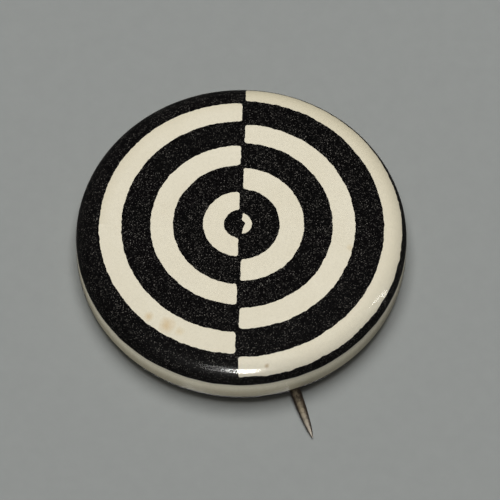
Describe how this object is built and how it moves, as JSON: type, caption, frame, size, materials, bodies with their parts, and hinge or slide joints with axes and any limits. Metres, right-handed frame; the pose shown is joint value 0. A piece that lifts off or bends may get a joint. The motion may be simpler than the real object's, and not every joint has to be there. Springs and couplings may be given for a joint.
{
  "type": "button badge",
  "caption": "Round pin-back badge: glossy film over a black and cream half-ring print, wrapped on a domed steel shell, with a collet ring and a spring wire pin across its open back.",
  "frame": {"origin": "on the badge's axis, in the plane of the rim's lower edge at the back", "axes": "+Z along the badge's axis, out of its printed face; +Y along the straight divide between the two halves of the print, away from the pin's point; +X to the right of it, seen from the front"},
  "size_m": [0.0254, 0.028, 0.0054],
  "materials": {
    "film": "polished",
    "ink": "satin",
    "paper": "matte",
    "tinplate": "satin",
    "collet": "satin",
    "wire": "satin"
  },
  "bodies": {
    "badge": {"clear_film": "film", "printed_ink": "ink", "printed_paper": "paper", "front_shell": "tinplate", "collet_ring": "collet"},
    "wire_ring": {"pin_ring": "wire"},
    "wire_shank": {"pin_shank": "wire"}
  },
  "joints": [
    {"name": "wire_turn", "type": "hinge", "parent": "badge", "child": "wire_ring", "pos_m": [0, 0, 0.00135], "axis": [0, 0, 1], "continuous": true},
    {"name": "pin_flex", "type": "hinge", "parent": "wire_ring", "child": "wire_shank", "pos_m": [-0.00312, 0.00825, 0.00135], "axis": [0.9354, 0.3535, 0], "range_deg": [0, 40], "stiffness_Nm_per_rad": 0.005}
  ]
}
